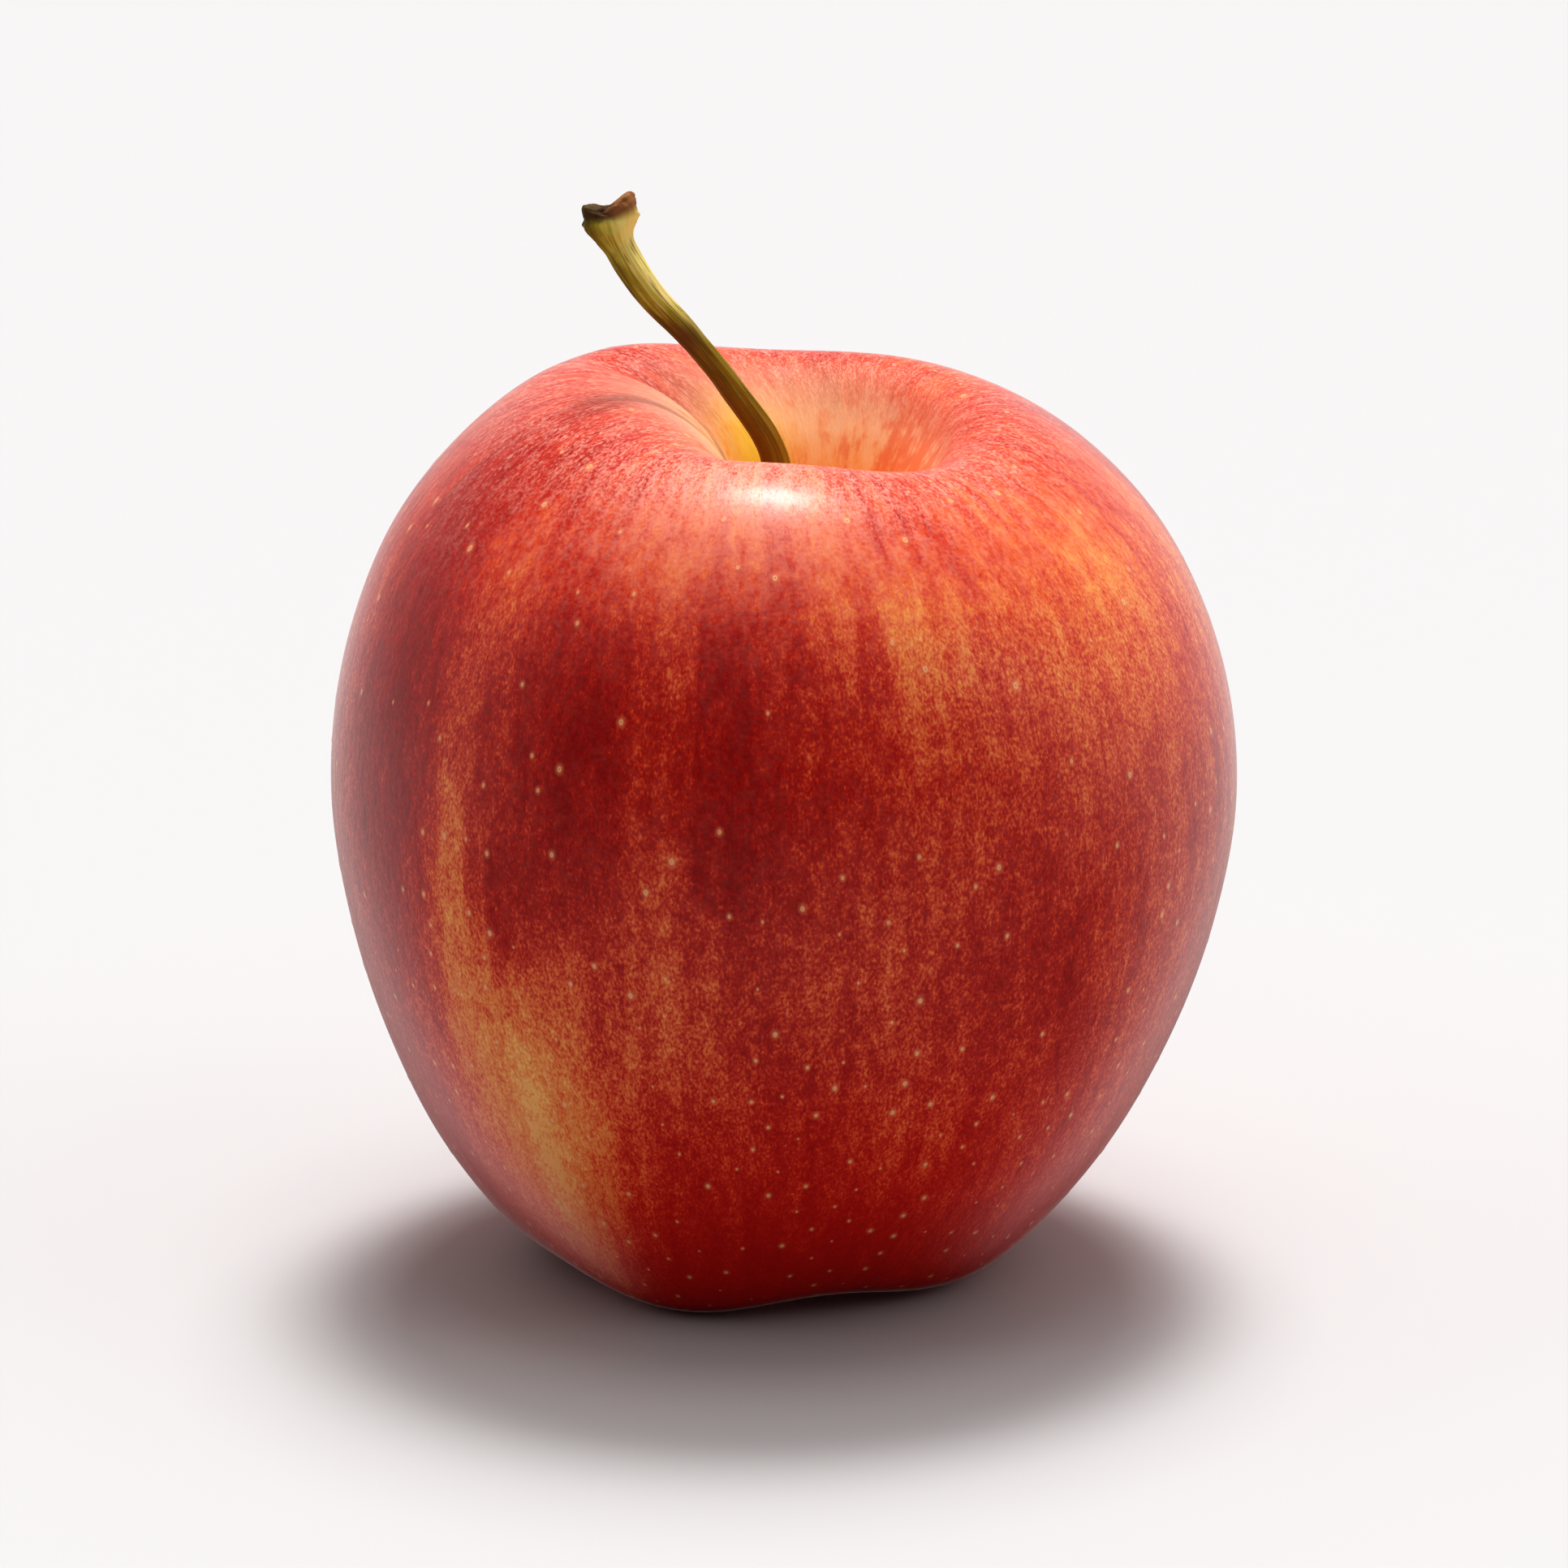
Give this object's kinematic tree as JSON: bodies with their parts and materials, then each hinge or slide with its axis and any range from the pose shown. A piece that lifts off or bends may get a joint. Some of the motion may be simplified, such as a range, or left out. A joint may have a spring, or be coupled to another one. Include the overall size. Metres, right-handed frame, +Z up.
{
  "type": "apple",
  "caption": "Ripe red dessert apple standing on its base, with its curved stalk and the dried calyx in its base.",
  "frame": {"origin": "on the surface the apple stands on, under the middle of its outline", "axes": "+Z up through the core line from the calyx to the stalk cavity; +X to the side away from the one the stalk leans to; -Y is the front"},
  "size_m": [0.075, 0.075, 0.0901],
  "materials": {
    "skin": "waxy satin, red blush over yellow",
    "stalk": "fibrous, olive green to brown",
    "sepal": "dried leaf, matt brown",
    "stamen": "dried thread, dark brown"
  },
  "bodies": {
    "root": {"fruit": "skin", "stem": "stalk", "sepal_1": "sepal", "sepal_2": "sepal", "sepal_3": "sepal", "sepal_4": "sepal", "sepal_5": "sepal", "stamen_tuft": "stamen"}
  },
  "joints": []
}
